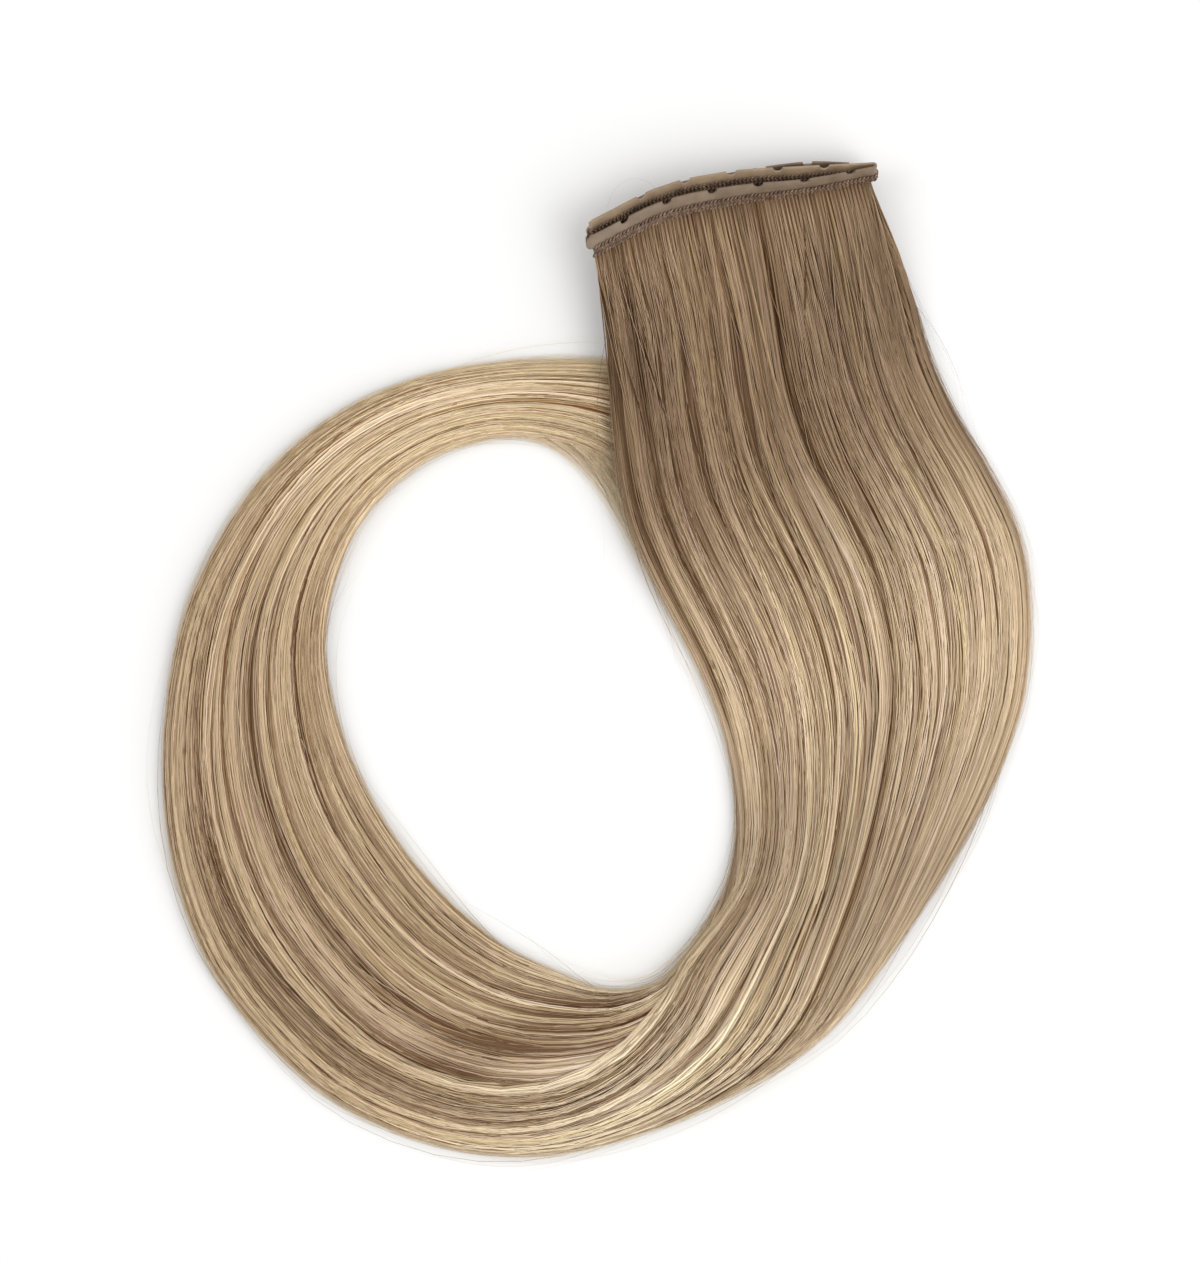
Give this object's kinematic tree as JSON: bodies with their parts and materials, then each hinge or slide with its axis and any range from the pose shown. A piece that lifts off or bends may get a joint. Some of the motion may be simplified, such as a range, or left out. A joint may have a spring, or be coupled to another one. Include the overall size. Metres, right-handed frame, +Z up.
{
  "type": "butterfly weft hair extension",
  "caption": "Folded notched strip with a sewn band of long straight hair, ash brown at the roots and pale blonde at the tips, curled in an open loop on a table.",
  "frame": {"origin": "centre of the bounding box in plan, on the table surface the hair rests on", "axes": "+X to the right and +Y away from the viewer towards the folded strip as it lies, +Z up from the table"},
  "size_m": [0.2245, 0.2579, 0.017],
  "materials": {
    "hair": "satin",
    "strip": "satin",
    "thread": "matt"
  },
  "bodies": {
    "root": {"weft_strip": "strip", "stitch_band": "thread", "hair_front": "hair", "hair_second": "hair", "hair_third": "hair", "hair_back": "hair"}
  },
  "joints": []
}
